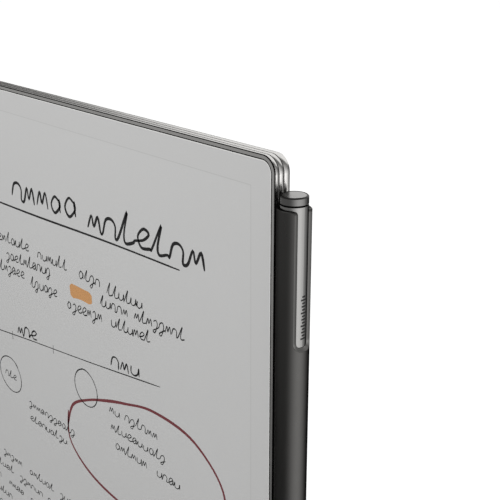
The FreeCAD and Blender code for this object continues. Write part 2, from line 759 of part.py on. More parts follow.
def tip_socket():
    bore = rod(TIP_RADIUS + TIP_CLEARANCE, (SOCKET_SPAN[0], TIP_SHANK_TOP))
    return rod(SOCKET_RADIUS, SOCKET_SPAN).cut(bore)


def eraser_cap():
    """A round cap with a chamfered top edge and a shallow seat for the disc."""
    cap = rod(TUBE_RADIUS, (ERASER_BOTTOM, STYLUS_TOP))
    cap = cap.makeChamfer(CAP_CHAMFER, edges_near(cap, lambda p: p.z > STYLUS_TOP - TINY))
    return cap.cut(rod(DISC_RADIUS, (STYLUS_TOP - DISC_DEPTH, STYLUS_TOP)))


def eraser_disc():
    top = STYLUS_TOP - DISC_RECESS
    disc = rod(DISC_RADIUS - DISC_CLEARANCE, (STYLUS_TOP - DISC_DEPTH, top))
    return disc.makeFillet(DISC_FILLET, edges_near(disc, lambda p: p.z > top - TINY))


# --- stylus: inner pieces ---
def stylus_range(offsets):
    """A range along X, from distances to the stylus axis."""
    return (STYLUS_X + offsets[0], STYLUS_X + offsets[1])


def stylus_magnet(z):
    return block(stylus_range(STYLUS_MAGNET_X), about(STYLUS_Y, STYLUS_MAGNET_WIDTH), z)


def stylus_strip(z):
    """A slim circuit board inside the tube."""
    width, thickness = STYLUS_STRIP_SIZE
    return block(about(STYLUS_X, width), about(STYLUS_Y, thickness), z)


def stylus_charge_pair():
    """The stylus's charging bar and its winding, beside the tablet's."""
    core_x = stylus_range(STYLUS_CORE_X)
    core_y = about(STYLUS_Y, STYLUS_CORE_WIDTH)
    return block(core_x, core_y, COIL_SPAN), winding(core_x, core_y, COIL_SPAN)


# --- tablet ---
save("side_frame", side_frame())
save("front_glass", inset_plate(GLASS_INSET, GLASS_LAYER))
save("glass_adhesive", glass_adhesive())
save("front_light_guide", screen_sheet(LIGHT_GUIDE_MARGIN, LIGHT_GUIDE_BOTTOM, LIGHT_GUIDE_LAYER))
save("front_light_strip", front_light_strip())
save("display_panel", screen_sheet(PANEL_MARGIN, PANEL_BOTTOM, DISPLAY_LAYER))
save("display_flex", display_flex())
save("pen_digitizer", screen_sheet(PANEL_MARGIN, DIGITIZER_BOTTOM, DIGITIZER_LAYER))
save("mid_plate", mid_plate())
save("mid_plate_screws", *[mid_plate_screw(x, z) for x, z in screw_places()])
save("rear_cover", rear_cover())
save("rubber_feet", *[rubber_foot(x, z) for x, z in foot_places()])
save("accessory_contacts", *[accessory_contact(x, z) for x, z in contact_places()])
save("contact_board", contact_board())
save("battery_left", battery_cell(-1))
save("battery_right", battery_cell(1))
save("battery_flex", battery_flex())
save("main_board", main_board())
save("processor", chip(PROCESSOR, PROCESSOR_HEIGHT))
save("processor_shield", processor_shield())
save("memory_chip", chip(MEMORY, CHIP_HEIGHT))
save("storage_chip", chip(STORAGE, CHIP_HEIGHT))
save("wireless_module", chip(WIRELESS, CHIP_HEIGHT))
save("antenna_left", antenna(-1))
save("antenna_right", antenna(1))
save("usb_c_shell", usb_shell())
save("usb_c_tongue", usb_tongue())
save("usb_board", usb_board())
save("usb_flex", flat_block(USB_FLEX, FLEX_LAYER))
save("power_button", power_button())
save("power_switch", power_switch())
save("dock_magnets", *[edge_bar(z, 1) for z in DOCK_MAGNET_SPANS])
save("folio_magnets", *[edge_bar(z, -1) for z in FOLIO_MAGNET_SPANS])
dock_core, dock_coil = dock_charge_pair()
save("dock_charge_core", dock_core)
save("dock_charge_coil", dock_coil)

# --- stylus ---
save("stylus_shell", stylus_shell())
save("stylus_tube", stylus_tube())
save("nose_cone", nose_cone())
save("stylus_tip", stylus_tip())
save("tip_socket", tip_socket())
save("tip_pad", rod(TIP_PAD_RADIUS, span(SOCKET_SPAN[1], TIP_PAD_HEIGHT)))
save("tip_sensor", rod(SENSOR_RADIUS, span(SOCKET_SPAN[1] + TIP_PAD_HEIGHT, SENSOR_HEIGHT)))
save("eraser_cap", eraser_cap())
save("eraser_disc", eraser_disc())
save("eraser_stem", rod(STEM_RADIUS, (STEM_BOTTOM, ERASER_BOTTOM)))
save("eraser_guide", rod(SPIGOT_RADIUS, GUIDE_SPAN).cut(rod(GUIDE_BORE, GUIDE_SPAN)))
save("eraser_pad", rod(ERASER_PAD_RADIUS, (STEM_BOTTOM - ERASER_PAD_HEIGHT, STEM_BOTTOM)))
sensor_top = STEM_BOTTOM - ERASER_PAD_HEIGHT
save("eraser_sensor", rod(SENSOR_RADIUS, (sensor_top - SENSOR_HEIGHT, sensor_top)))
save("stylus_magnets", *[stylus_magnet(z) for z in DOCK_MAGNET_SPANS])
stylus_core, stylus_coil = stylus_charge_pair()
save("stylus_charge_core", stylus_core)
save("stylus_charge_coil", stylus_coil)
save("stylus_battery", rod(SENSOR_RADIUS, STYLUS_BATTERY_SPAN))
save("stylus_board", stylus_strip(STYLUS_BOARD_SPAN))
save("tip_board", stylus_strip(TIP_BOARD_SPAN))
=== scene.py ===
import json
import math
import random

import bmesh
import bpy
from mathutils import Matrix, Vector


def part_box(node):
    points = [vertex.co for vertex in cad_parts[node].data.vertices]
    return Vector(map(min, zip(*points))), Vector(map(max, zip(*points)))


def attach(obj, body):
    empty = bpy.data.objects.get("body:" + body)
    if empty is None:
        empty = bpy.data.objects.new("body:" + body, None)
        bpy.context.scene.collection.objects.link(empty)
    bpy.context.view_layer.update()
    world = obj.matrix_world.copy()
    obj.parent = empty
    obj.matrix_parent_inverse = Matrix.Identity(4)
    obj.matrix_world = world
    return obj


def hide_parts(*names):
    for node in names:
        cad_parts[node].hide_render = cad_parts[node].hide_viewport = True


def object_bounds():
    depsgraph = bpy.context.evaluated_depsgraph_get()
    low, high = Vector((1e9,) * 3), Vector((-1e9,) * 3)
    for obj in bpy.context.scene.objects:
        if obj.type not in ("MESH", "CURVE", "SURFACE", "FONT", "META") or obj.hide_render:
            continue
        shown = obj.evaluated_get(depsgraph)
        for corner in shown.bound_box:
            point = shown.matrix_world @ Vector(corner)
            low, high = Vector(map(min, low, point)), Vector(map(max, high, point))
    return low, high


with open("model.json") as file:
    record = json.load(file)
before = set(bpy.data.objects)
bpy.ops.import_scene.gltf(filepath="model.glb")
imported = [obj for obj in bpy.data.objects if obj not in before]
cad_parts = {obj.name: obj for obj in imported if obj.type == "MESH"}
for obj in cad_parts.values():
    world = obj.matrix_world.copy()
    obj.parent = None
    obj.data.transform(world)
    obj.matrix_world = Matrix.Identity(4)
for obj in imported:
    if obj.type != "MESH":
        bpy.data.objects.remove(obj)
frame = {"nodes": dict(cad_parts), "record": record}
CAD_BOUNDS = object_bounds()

# An e-paper writing tablet that stands upright in the row frame: screen towards -Y, long side along Z.
# Lengths are in metres; MM turns millimetres into metres.
MM = 0.001

GLASS_LOW, GLASS_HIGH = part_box("front_glass")
TUBE_LOW, TUBE_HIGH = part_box("stylus_tube")
SHELL_LOW, SHELL_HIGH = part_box("stylus_shell")
AXIS_X = (TUBE_LOW.x + TUBE_HIGH.x) / 2
AXIS_Y = (TUBE_LOW.y + TUBE_HIGH.y) / 2
TUBE_RADIUS = (TUBE_HIGH.x - TUBE_LOW.x) / 2
SHELL_RADIUS = (SHELL_HIGH.y - SHELL_LOW.y) / 2

# The frame's outline, and the notch between its front band and its first ridge, where shade is painted near
# black.
FRAME_LOW, FRAME_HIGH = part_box("side_frame")
TABLET_TOP = FRAME_HIGH.z
FRAME_CORNER = 4.4 * MM
NOTCH_SHADE_INSET = 0.165 * MM
NOTCH_SHADE_WIDTH = 0.18 * MM
NOTCH_SHADE_DEPTH = 0.46 * MM

# The eraser cap's top, and the height of its rim, where shade is painted dark.
CAP_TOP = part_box("eraser_cap")[1].z
CAP_RIM_SHADE = 0.33 * MM

# The glass has round corners, and a painted highlight in a strip along its edge.
GLASS_CORNER = 3.05 * MM
EDGE_HIGHLIGHT_WIDTH = 0.20 * MM

# The screen's active area, seen through the glass, and half of its border line.
TOP_BEZEL = 8.3 * MM
ACTIVE_HALF_WIDTH = 89.85 * MM
ACTIVE_HALF_HEIGHT = 119.8 * MM
ACTIVE_CENTRE_Z = TABLET_TOP - TOP_BEZEL - ACTIVE_HALF_HEIGHT
BORDER_HALF = 0.14 * MM

# A point this close to a surface counts as on it.
SKIN = 0.03 * MM


# --- camera, floor and light ---
# Lens and sensor in millimetres. The camera looks down by one angle and is turned by the other.
CAMERA_LENS = 71.6
CAMERA_SENSOR = 36
CAMERA_PLACE = (0.2619, -0.1589, 0.1924)
CAMERA_DOWN = 19.16
CAMERA_TURN = 48.254

FLOOR_REACH = 12.0
FLOOR_GLOW = 0.66

# The soft light that matt surfaces get from all round.
DOME = 0.425

# What metal mirrors. Directions are (azimuth, elevation) in degrees.
UP = (0, 90)
# The room's strength low down and high up, behind as a share of in front, and the cosines it fades between.
ROOM_LOW = 0.09
ROOM_HIGH = 0.27
ROOM_FADE = (-0.56, -0.20)
ROOM_FRONT = (-10, -10)
ROOM_BEHIND = 0.2
ROOM_FRONT_FADE = (-0.5, 0.5)
# The broad light's fall to its sides as a power, and its strengths either side of a band of elevations.
BROAD_DIRECTION = (94, -19)
BROAD_FALL = 2.5
BROAD_FADE = (-9, -1)
BROAD_BELOW = 1.15
BROAD_ABOVE = 0.62
# The panel's outer and inner edge, in degrees from its middle.
PANEL_DIRECTION = (200, 42)
PANEL_EDGE = (46, 35)
PANEL_STRENGTH = 0.72
# The share of all this that is left where metal is seen in metal.
SECOND_BOUNCE = 0.12
LIGHT_TINT = (1.0, 0.995, 0.985, 1)

# Where the two soft lights look.
LIGHT_AIM = Vector((0, 0, 0.05))


def make_camera():
    data = bpy.data.cameras.new("camera")
    data.lens = CAMERA_LENS
    data.sensor_width = CAMERA_SENSOR
    data.clip_start = 0.01
    camera = bpy.data.objects.new("camera", data)
    camera.location = CAMERA_PLACE
    camera.rotation_euler = (math.radians(90 - CAMERA_DOWN), 0, math.radians(CAMERA_TURN))
    bpy.context.scene.collection.objects.link(camera)
    bpy.context.scene.camera = camera


def make_floor():
    """A pale sweep that glows a little, so that it stays white behind the object."""
    height = CAD_BOUNDS[0][2]
    mesh = bpy.data.meshes.new("floor")
    turns = ((-1, -1), (1, -1), (1, 1), (-1, 1))
    corners = [(FLOOR_REACH * x, FLOOR_REACH * y, height) for x, y in turns]
    mesh.from_pydata(corners, [], [(0, 1, 2, 3)])
    floor = bpy.data.objects.new("floor", mesh)
    bpy.context.scene.collection.objects.link(floor)
    look = Look("floor", (0.86, 0.86, 0.86), roughness=0.9)
    look.bsdf.inputs["Emission Color"].default_value = (1, 1, 1, 1)
    look.bsdf.inputs["Emission Strength"].default_value = FLOOR_GLOW
    look.material.cycles.emission_sampling = "NONE"
    mesh.materials.append(look.material)
    floor.visible_glossy = False


def direction(azimuth, elevation):
    """A unit vector: azimuth 0 is the side that the screen faces, and 90 is the stylus side."""
    a = math.radians(azimuth)
    e = math.radians(elevation)
    return (math.sin(a) * math.cos(e), -math.cos(a) * math.cos(e), math.sin(e))


def make_world():
    """White for the camera, an even dome for matt surfaces, and for metal a dim room with two lights.

    One is broad, soft, on the stylus side and weaker above the horizon. The other is high at the back.
    """
    world = bpy.data.worlds.new("studio")
    bpy.context.scene.world = world
    world.use_nodes = True
    nodes = world.node_tree.nodes
    links = world.node_tree.links
    coordinates = nodes.new("ShaderNodeTexCoord").outputs["Generated"]

    def towards(azimuth, elevation):
        dot = nodes.new("ShaderNodeVectorMath")
        dot.operation = "DOT_PRODUCT"
        dot.inputs[1].default_value = direction(azimuth, elevation)
        links.new(coordinates, dot.inputs[0])
        return dot.outputs["Value"]

    def fade(value, start, end, low, high):
        node = nodes.new("ShaderNodeMapRange")
        node.interpolation_type = "SMOOTHSTEP"
        for socket, number in zip(("From Min", "From Max", "To Min", "To Max"), (start, end, low, high)):
            node.inputs[socket].default_value = number
        links.new(value, node.inputs["Value"])
        return node.outputs["Result"]

    def combine(operation, first, second):
        node = nodes.new("ShaderNodeMath")
        node.operation = operation
        links.new(first, node.inputs[0])
        if isinstance(second, float):
            node.inputs[1].default_value = second
        else:
            links.new(second, node.inputs[1])
        return node.outputs["Value"]

    by_height = fade(towards(*UP), *ROOM_FADE, ROOM_LOW, ROOM_HIGH)
    by_side = fade(towards(*ROOM_FRONT), *ROOM_FRONT_FADE, ROOM_BEHIND, 1.0)
    room = combine("MULTIPLY", by_height, by_side)
    facing = combine("MAXIMUM", towards(*BROAD_DIRECTION), 0.0)
    low, high = (math.sin(math.radians(angle)) for angle in BROAD_FADE)
    broad_strength = fade(towards(*UP), low, high, BROAD_BELOW, BROAD_ABOVE)
    broad = combine("MULTIPLY", combine("POWER", facing, BROAD_FALL), broad_strength)
    outer, inner = (math.cos(math.radians(angle)) for angle in PANEL_EDGE)
    panel = fade(towards(*PANEL_DIRECTION), outer, inner, 0.0, PANEL_STRENGTH)
    mirrored = combine("ADD", combine("ADD", room, broad), panel)
    path = nodes.new("ShaderNodeLightPath")
    once = combine("LESS_THAN", path.outputs["Glossy Depth"], 1.5)
    mirrored = combine("MULTIPLY", mirrored, combine("MAXIMUM", once, SECOND_BOUNCE))
    softened = nodes.new("ShaderNodeMix")
    softened.inputs["A"].default_value = DOME
    links.new(path.outputs["Is Glossy Ray"], softened.inputs["Factor"])
    links.new(mirrored, softened.inputs["B"])
    strength = combine("MAXIMUM", path.outputs["Is Camera Ray"], softened.outputs["Result"])
    background = nodes["Background"]
    background.inputs["Color"].default_value = LIGHT_TINT
    links.new(strength, background.inputs["Strength"])


def make_panel(name, place, size, power):
    """A soft area light that looks at the tablet and doesn't show in its metal."""
    data = bpy.data.lights.new(name, "AREA")
    data.size = size
    data.energy = power
    light = bpy.data.objects.new(name, data)
    light.location = place
    light.rotation_euler = (LIGHT_AIM - Vector(place)).to_track_quat("-Z", "Y").to_euler()
    light.visible_glossy = False
    bpy.context.scene.collection.objects.link(light)


# --- materials ---
class Look:
    """A Principled material, with short ways to add nodes to it."""

    def __init__(self, name, color, metallic=0.0, roughness=0.5):
        self.material = bpy.data.materials.new(name)
        self.material.use_nodes = True
        self.nodes = self.material.node_tree.nodes
        self.links = self.material.node_tree.links
        self.bsdf = self.nodes["Principled BSDF"]
        self.color = color
        self.roughness = roughness
        self.bsdf.inputs["Base Color"].default_value = (*color, 1)
        self.bsdf.inputs["Metallic"].default_value = metallic
        self.bsdf.inputs["Roughness"].default_value = roughness
        self.place = self.nodes.new("ShaderNodeTexCoord").outputs["Object"]

    def math(self, operation, first, second=0.0):
        node = self.nodes.new("ShaderNodeMath")
        node.operation = operation
        for socket, value in zip(node.inputs, (first, second)):
            if isinstance(value, (int, float)):
                socket.default_value = value
            else:
                self.links.new(value, socket)
        return node.outputs["Value"]

    def axes(self):
        split = self.nodes.new("ShaderNodeSeparateXYZ")
        self.links.new(self.place, split.inputs["Vector"])
        return split.outputs

    def noise(self, size, stretch=(1, 1, 1), detail=3.0):
        """Noise whose grains are about size across, stretched along each axis."""
        mapping = self.nodes.new("ShaderNodeMapping")
        mapping.inputs["Scale"].default_value = [1 / (size * s) for s in stretch]
        texture = self.nodes.new("ShaderNodeTexNoise")
        texture.inputs["Scale"].default_value = 1.0
        texture.inputs["Detail"].default_value = detail
        self.links.new(self.place, mapping.inputs["Vector"])
        self.links.new(mapping.outputs["Vector"], texture.inputs["Vector"])
        return texture.outputs["Fac"]

    def cells(self, size):
        """A field of small rounded cells, as in moulded or blasted texture."""
        texture = self.nodes.new("ShaderNodeTexVoronoi")
        texture.inputs["Scale"].default_value = 1 / size
        self.links.new(self.place, texture.inputs["Vector"])
        return texture.outputs["Distance"]

    def spread(self, value, low, high, start=0.3, end=0.7):
        node = self.nodes.new("ShaderNodeMapRange")
        self.links.new(value, node.inputs["Value"])
        for socket, number in zip(("From Min", "From Max", "To Min", "To Max"), (start, end, low, high)):
            node.inputs[socket].default_value = number
        return node.outputs["Result"]

    def vary_roughness(self, value, amount):
        uneven = self.spread(value, self.roughness - amount, self.roughness + amount)
        self.links.new(uneven, self.bsdf.inputs["Roughness"])

    def mix(self, factor, first, second):
        """A colour between two, each an (r, g, b) or an output."""
        node = self.nodes.new("ShaderNodeMix")
        node.data_type = "RGBA"
        self.links.new(factor, node.inputs["Factor"])
        for socket, value in zip((node.inputs["A"], node.inputs["B"]), (first, second)):
            if isinstance(value, tuple):
                socket.default_value = (*value, 1)
            else:
                self.links.new(value, socket)
        return node.outputs["Result"]

    def vary_color(self, value, amount):
        dark = tuple(c * (1 - amount) for c in self.color)
        light = tuple(min(1.0, c * (1 + amount)) for c in self.color)
        result = self.mix(self.spread(value, 0.0, 1.0), dark, light)
        self.links.new(result, self.bsdf.inputs["Base Color"])
        return result

    def bump(self, value, depth, strength=1.0):
        node = self.nodes.new("ShaderNodeBump")
        node.inputs["Strength"].default_value = strength
        node.inputs["Distance"].default_value = depth
        self.links.new(value, node.inputs["Height"])
        self.links.new(node.outputs["Normal"], self.bsdf.inputs["Normal"])


# Sizes of the patches and the grain in the materials, and the depths of their relief.
METAL_PATCH = 6 * MM
METAL_SHEEN = 1.5 * MM
METAL_GRAIN = 0.12 * MM
METAL_GRAIN_DEPTH = 0.0006 * MM
PLASTIC_PATCH = 4 * MM
PLASTIC_SHEEN = 0.8 * MM
BOARD_SHEEN = 2 * MM
TRACE_DEPTH = 0.02 * MM
GLASS_SHEEN = 12 * MM
GLASS_GRAIN = 0.09 * MM
GLASS_GRAIN_DEPTH = 0.0012 * MM
PAPER_FIBRE = 0.35 * MM
INK_GRAIN = 0.22 * MM


def satin_look(name, color, roughness, stretch=(1, 1, 1)):
    """Blasted and anodised metal: fine grain, uneven sheen and a little tone; and its colour output."""
    look = Look(name, color, metallic=1.0, roughness=roughness)
    tone = look.vary_color(look.noise(METAL_PATCH, stretch), 0.03)
    look.vary_roughness(look.noise(METAL_SHEEN, stretch), 0.035)
    look.bump(look.noise(METAL_GRAIN, stretch), METAL_GRAIN_DEPTH)
    return look, tone


def satin_metal(name, color, roughness, stretch=(1, 1, 1)):
    return satin_look(name, color, roughness, stretch)[0].material


def outline_distance(look, half_x, half_z, centre_z, radius):
    """How far a point is outside an upright rectangle with round corners, and below nought inside it."""
    axes = look.axes()
    across = look.math("SUBTRACT", look.math("ABSOLUTE", axes["X"]), half_x - radius)
    level = look.math("SUBTRACT", axes["Z"], centre_z)
    up = look.math("SUBTRACT", look.math("ABSOLUTE", level), half_z - radius)
    past_side = look.math("MAXIMUM", across, 0.0)
    past_top = look.math("MAXIMUM", up, 0.0)
    square = look.math("ADD", look.math("POWER", past_side, 2.0), look.math("POWER", past_top, 2.0))
    corner = look.math("SQRT", square)
    inside = look.math("MINIMUM", look.math("MAXIMUM", across, up), 0.0)
    return look.math("SUBTRACT", look.math("ADD", corner, inside), radius)


def frame_metal():
    """The frame's aluminium, with painted shade: a near-black line along the notch between its front band
    and its ridges.
    """
    look, tone = satin_look("frame_aluminium", (0.93, 0.92, 0.905), 0.25)
    depth = look.axes()["Y"]
    outside = outline_distance(look, FRAME_HIGH.x, FRAME_HIGH.z, 0.0, FRAME_CORNER)
    near_notch = look.math("COMPARE", outside, -NOTCH_SHADE_INSET)
    near_notch.node.inputs[2].default_value = NOTCH_SHADE_WIDTH / 2
    in_front = look.math("LESS_THAN", depth, FRAME_LOW.y + NOTCH_SHADE_DEPTH)
    painted_notch_shade = look.math("MULTIPLY", near_notch, in_front)
    # Painted shade: the notch is coloured near black in place of its shadow.
    look.links.new(look.mix(painted_notch_shade, tone, (0.05, 0.048, 0.045)), look.bsdf.inputs["Base Color"])
    return look.material


def shell_metal():
    """Dark anodised aluminium, brighter where the window's bevel was cut, with a painted highlight that
    makes the bevel brightest at its lower end.
    """
    look, tone = satin_look("stylus_shell", (0.126, 0.124, 0.121), 0.30, (1, 1, 3))
    look.bsdf.inputs["Specular Tint"].default_value = (0.30, 0.30, 0.30, 1)
    axes = look.axes()
    across = look.math("SUBTRACT", axes["X"], AXIS_X)
    depth = look.math("SUBTRACT", axes["Y"], AXIS_Y)
    square = look.math("ADD", look.math("MULTIPLY", across, across), look.math("MULTIPLY", depth, depth))
    sunk = look.math("LESS_THAN", square, (SHELL_RADIUS - SKIN) ** 2)
    cut = look.math("MULTIPLY", sunk, look.math("GREATER_THAN", across, 0.0))
    # Painted highlight: the bevel's colour lightens towards the window's lower end.
    painted_end_highlight = look.spread(axes["Z"], 0.0, 1.0, END_START - END_HEIGHT / 3, WINDOW_BOTTOM)
    cut_tone_and_painted_highlight = look.mix(painted_end_highlight, (0.185, 0.183, 0.179), (0.46, 0.455, 0.445))
    look.links.new(look.mix(cut, tone, cut_tone_and_painted_highlight), look.bsdf.inputs["Base Color"])
    return look.material


def tube_metal():
    """The inner tube's lighter metal, with painted shade: its end under the cap is near black, for the
    shadow in the gap.
    """
    look, tone = satin_look("stylus_tube", (0.42, 0.418, 0.412), 0.22, (1, 1, 4))
    painted_gap_shade = look.math("GREATER_THAN", look.axes()["Z"], TUBE_HIGH.z - SKIN)
    # Painted shade: the end face is near black in place of the gap's shadow.
    look.links.new(look.mix(painted_gap_shade, tone, (0.02, 0.02, 0.02)), look.bsdf.inputs["Base Color"])
    return look.material


def cap_metal():
    """The eraser cap's metal, with painted shade darkening its rim."""
    look, tone = satin_look("stylus_cap", (0.245, 0.243, 0.24), 0.20)
    painted_rim_shade = look.math("GREATER_THAN", look.axes()["Z"], CAP_TOP - CAP_RIM_SHADE)
    # Painted shade: the rim is coloured dark in place of the shadow in the groove round the disc.
    look.links.new(look.mix(painted_rim_shade, tone, (0.07, 0.069, 0.067)), look.bsdf.inputs["Base Color"])
    return look.material


def moulded(name, color, roughness, grain=0.25, depth=0.01):
    """Moulded plastic or rubber with a fine spark-eroded texture, sizes in millimetres."""
    look = Look(name, color, roughness=roughness)
    look.vary_color(look.noise(PLASTIC_PATCH), 0.04)
    look.vary_roughness(look.noise(PLASTIC_SHEEN), 0.04)
    look.bump(look.cells(grain * MM), depth * MM, 0.6)
    return look.material


def laminate(name, color, line_color, pitch):
    """A circuit board or film, with traces that run along both sides."""
    look = Look(name, color, roughness=0.45)
    traces = look.nodes.new("ShaderNodeTexBrick")
    traces.inputs["Color1"].default_value = (*color, 1)
    traces.inputs["Color2"].default_value = (*[c * 1.25 for c in color], 1)
    traces.inputs["Mortar"].default_value = (*line_color, 1)
    traces.inputs["Scale"].default_value = 1 / (pitch * MM)
    traces.inputs["Mortar Size"].default_value = 0.04
    turned = look.nodes.new("ShaderNodeMapping")
    turned.inputs["Rotation"].default_value = (math.radians(90), 0, 0)
    look.links.new(look.place, turned.inputs["Vector"])
    look.links.new(turned.outputs["Vector"], traces.inputs["Vector"])
    look.links.new(traces.outputs["Color"], look.bsdf.inputs["Base Color"])
    look.vary_roughness(look.noise(BOARD_SHEEN), 0.08)
    look.bump(traces.outputs["Fac"], TRACE_DEPTH, 0.5)
    return look.material


def etched_screen():
    """Matt etched glass over e-paper: a bezel, a fine border line, a mottled page, a painted highlight along
    the edge, and sides painted near black as shade.
    """
    bezel = (0.482, 0.482, 0.480)
    page = (0.488, 0.489, 0.487)
    line = (0.430, 0.430, 0.427)
    painted_edge_highlight = (0.66, 0.66, 0.65)
    painted_side_shade = (0.02, 0.02, 0.02)
    look = Look("etched_screen", bezel, roughness=0.42)
    outside = outline_distance(look, ACTIVE_HALF_WIDTH, ACTIVE_HALF_HEIGHT, ACTIVE_CENTRE_Z, 0.0)
    in_page = look.math("LESS_THAN", outside, 0.0)
    on_line = look.math("LESS_THAN", look.math("ABSOLUTE", outside), BORDER_HALF)
    to_edge = outline_distance(look, GLASS_HIGH.x, GLASS_HIGH.z, 0.0, GLASS_CORNER)
    on_edge = look.math("GREATER_THAN", to_edge, -EDGE_HIGHLIGHT_WIDTH)
    fibres = look.spread(look.noise(PAPER_FIBRE, detail=4.0), 0.0, 1.0)
    paper = look.mix(fibres, tuple(c * 0.985 for c in page), tuple(c * 1.012 for c in page))
    surface = look.mix(on_line, look.mix(in_page, bezel, paper), line)
    # Painted highlight: a light strip along the glass's edge, where its rim would catch the light.
    surface = look.mix(on_edge, surface, painted_edge_highlight)
    below = look.math("GREATER_THAN", look.axes()["Y"], GLASS_LOW.y + SKIN)
    # Painted shade: the glass's sides are near black, for the shade in the gap between glass and frame.
    surface = look.mix(below, surface, painted_side_shade)
    look.links.new(surface, look.bsdf.inputs["Base Color"])
    look.vary_roughness(look.noise(GLASS_SHEEN), 0.03)
    look.bump(look.noise(GLASS_GRAIN, detail=2.0), GLASS_GRAIN_DEPTH)
    return look.material


def make_looks():
    """One material for each of the record's slots."""
    return {
        "frame_aluminium": frame_metal(),
        "etched_glass": etched_screen(),
        "cover_plastic": moulded("cover_plastic", (0.40, 0.40, 0.395), 0.55, grain=0.35, depth=0.02),
        "foot_rubber": moulded("foot_rubber", (0.09, 0.09, 0.09), 0.75),
        "adhesive": moulded("adhesive", (0.015, 0.015, 0.015), 0.7),
        "light_guide": moulded("light_guide", (0.80, 0.83, 0.83), 0.15),
        "display": moulded("display", (0.55, 0.55, 0.54), 0.5),
        "flex": laminate("flex", (0.40, 0.20, 0.04), (0.62, 0.34, 0.10), 1.2),
        "sensor_sheet": laminate("sensor_sheet", (0.05, 0.16, 0.10), (0.30, 0.24, 0.10), 4.0),
        "magnesium": satin_metal("magnesium", (0.52, 0.53, 0.54), 0.45),
        "screw_steel": satin_metal("screw_steel", (0.45, 0.45, 0.46), 0.3),
        "contact_gold": satin_metal("contact_gold", (0.90, 0.66, 0.32), 0.22),
        "board": laminate("board", (0.03, 0.12, 0.07), (0.10, 0.30, 0.16), 1.6),
        "cell": satin_metal("cell", (0.70, 0.71, 0.72), 0.35),
        "chip": moulded("chip", (0.02, 0.02, 0.022), 0.4, grain=0.1),
        "shield": satin_metal("shield", (0.66, 0.66, 0.65), 0.3),
        "copper": satin_metal("copper", (0.82, 0.43, 0.24), 0.3),
        "ferrite": moulded("ferrite", (0.04, 0.04, 0.045), 0.5),
        "magnet": satin_metal("magnet", (0.68, 0.67, 0.64), 0.18),
        "port_steel": satin_metal("port_steel", (0.56, 0.56, 0.55), 0.28),
        "black_plastic": moulded("black_plastic", (0.012, 0.012, 0.012), 0.45, grain=0.15),
        "button_aluminium": satin_metal("button_aluminium", (0.84, 0.835, 0.82), 0.22, (4, 1, 1)),
        "stylus_shell": shell_metal(),
        "stylus_tube": tube_metal(),
        "stylus_cap": cap_metal(),
        "eraser_disc": satin_metal("eraser_disc", (0.55, 0.548, 0.542), 0.30),
        "stylus_tip": moulded("stylus_tip", (0.05, 0.05, 0.05), 0.7, grain=0.08),
        "pad_rubber": moulded("pad_rubber", (0.14, 0.14, 0.15), 0.7),
    }


def dress_nodes(looks):
    slots = {part["node"]: part["material_slot"] for part in frame["record"]["subparts"]}
    for name, node in frame["nodes"].items():
        for slot in node.material_slots:
            slot.material = looks[slots[name]]


# --- helpers for new pieces ---
# Points closer than this are one point.
WELD = 0.0005 * MM


def add_piece(name, mesh, body, look):
    piece = bpy.data.objects.new(name, mesh)
    bpy.context.scene.collection.objects.link(piece)
    mesh.materials.append(look)
    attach(piece, body)
    return piece


def finish_mesh(name, work, sharp_angle):
    """Merge, orient and shade a bmesh, with hard edges where faces turn by more than sharp_angle degrees."""
    bmesh.ops.remove_doubles(work, verts=work.verts, dist=WELD)
    bmesh.ops.recalc_face_normals(work, faces=work.faces)
    for face in work.faces:
        face.smooth = True
    for edge in work.edges:
        edge.smooth = edge.is_manifold and edge.calc_face_angle(0.0) < math.radians(sharp_angle)
    mesh = bpy.data.meshes.new(name)
    work.to_mesh(mesh)
    work.free()
    return mesh


def grid_faces(work, first, second):
    """Quads between two rows of vertices."""
    for a, b, c, d in zip(first, first[1:], second[1:], second):
        if len({a, b, c, d}) == 4:
            work.faces.new((a, b, c, d))


# --- stylus shell with its bevelled window ---
# The window's outline is measured round the shell, and a bevel runs from it up to the shell's full radius.
WINDOW_HALF = SHELL_RADIUS * math.radians(29.9)
WINDOW_TOP = SHELL_HIGH.z
WINDOW_BOTTOM = TABLET_TOP - 46.3 * MM
WINDOW_CORNER = 1.0 * MM
BEVEL_WIDTH = 0.95 * MM
BEVEL_DROP = 0.70 * MM
RIM_CHAMFER = 0.22 * MM
SHELL_BORE = 3.51 * MM
# How finely the shell's mesh is divided: the mouth's step is in degrees, and the others are counts.
MOUTH_STEP = 6
STRAIGHT_ROWS = 10
END_ROWS = 16
PLAIN_ROWS = 16
BEVEL_COLUMNS = 8
SIDE_COLUMNS = 30
FLAT_COLUMNS = 3
# The lower end is a superellipse: its height, and how square its corners are, for the two outlines.
END_HEIGHT = 2.2 * MM
END_SQUARENESS = 3.6
BEVEL_SQUARENESS = 2.5
END_START = WINDOW_BOTTOM + END_HEIGHT


def rounded_end(z, half, height, squareness):
    """Half of the width of a rounded lower end at a height."""
    drop = min(1.0, (END_START - z) / height)
    return half * (1 - drop ** squareness) ** (1 / squareness)


def window_edge(z):
    """Half of the window's width at a height, measured round the shell."""
    shoulder = WINDOW_TOP - WINDOW_CORNER
    if z > shoulder:
        rise = min(1.0, (z - shoulder) / WINDOW_CORNER)
        return WINDOW_HALF + WINDOW_CORNER * (1 - math.sqrt(1 - rise * rise))
    if z < END_START:
        return rounded_end(z, WINDOW_HALF, END_HEIGHT, END_SQUARENESS)
    return WINDOW_HALF


def bevel_edge(z):
    """Half of the bevel's outer width at a height."""
    if z < END_START:
        return rounded_end(z, WINDOW_HALF + BEVEL_WIDTH, END_HEIGHT + BEVEL_WIDTH, BEVEL_SQUARENESS)
    return window_edge(z) + BEVEL_WIDTH


def divide(start, end, count):
    """Even steps from start to end, without the start itself."""
    return [start + (end - start) * i / count for i in range(1, count + 1)]


